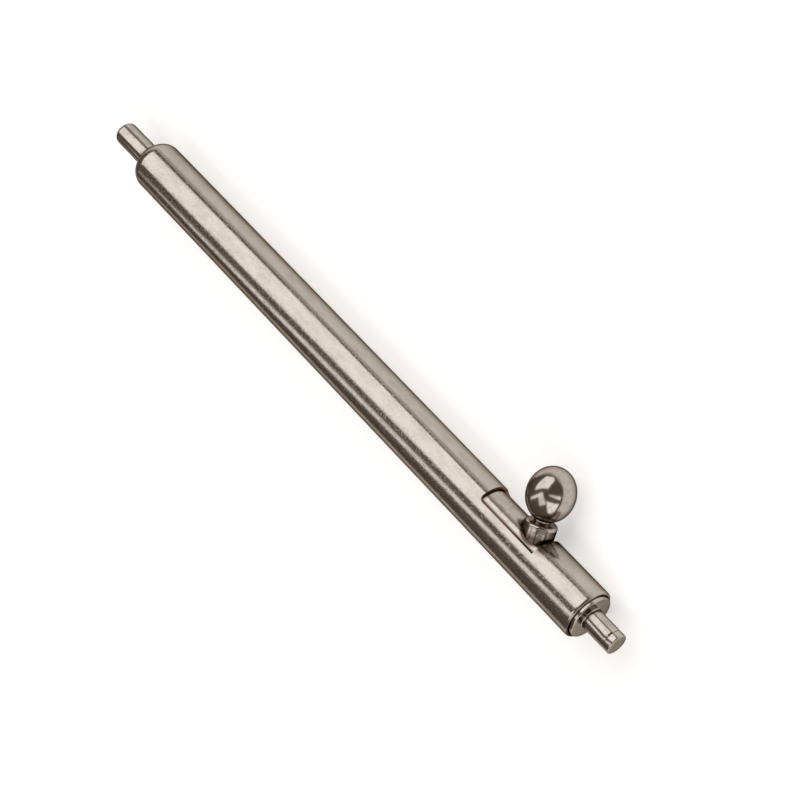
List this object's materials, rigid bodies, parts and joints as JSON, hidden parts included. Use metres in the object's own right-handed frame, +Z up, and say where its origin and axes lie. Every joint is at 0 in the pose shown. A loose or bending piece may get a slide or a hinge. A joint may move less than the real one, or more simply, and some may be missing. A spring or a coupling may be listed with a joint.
{
  "type": "quick-release spring bar",
  "caption": "Slim sprung bar that holds a strap between watch lugs, with a fixed pin, a sliding pin and a leaning ball knob in a notch that draws the pin back.",
  "frame": {"origin": "on the barrel's axis at the middle of the barrel's length", "axes": "+X along the bar towards the sliding release pin, +Y across the bar and out through the knob, +Z up from the surface that the bar lies on"},
  "size_m": [0.0223, 0.0032, 0.0014],
  "materials": {
    "barrel_steel": "drawn thin stainless tube, barrel polished, faint marks along the draw and dark red-brown at its crevices",
    "pin_steel": "turned stainless steel, satin, fine rings round the pins and across the shoulder",
    "spring_wire": "drawn spring wire, bright",
    "knob_steel": "turned stainless steel, polished to a mirror"
  },
  "bodies": {
    "bar": {"barrel": "barrel_steel", "fixed_pin": "pin_steel", "spring": "spring_wire"},
    "slider": {"plunger": "pin_steel", "release_knob": "knob_steel"}
  },
  "joints": [
    {"name": "plunger_slide", "type": "slide", "parent": "bar", "child": "slider", "axis": [-1, 0, 0], "range_m": [0, 0.00112], "stiffness_N_per_m": 740, "deforming": ["spring"]}
  ]
}
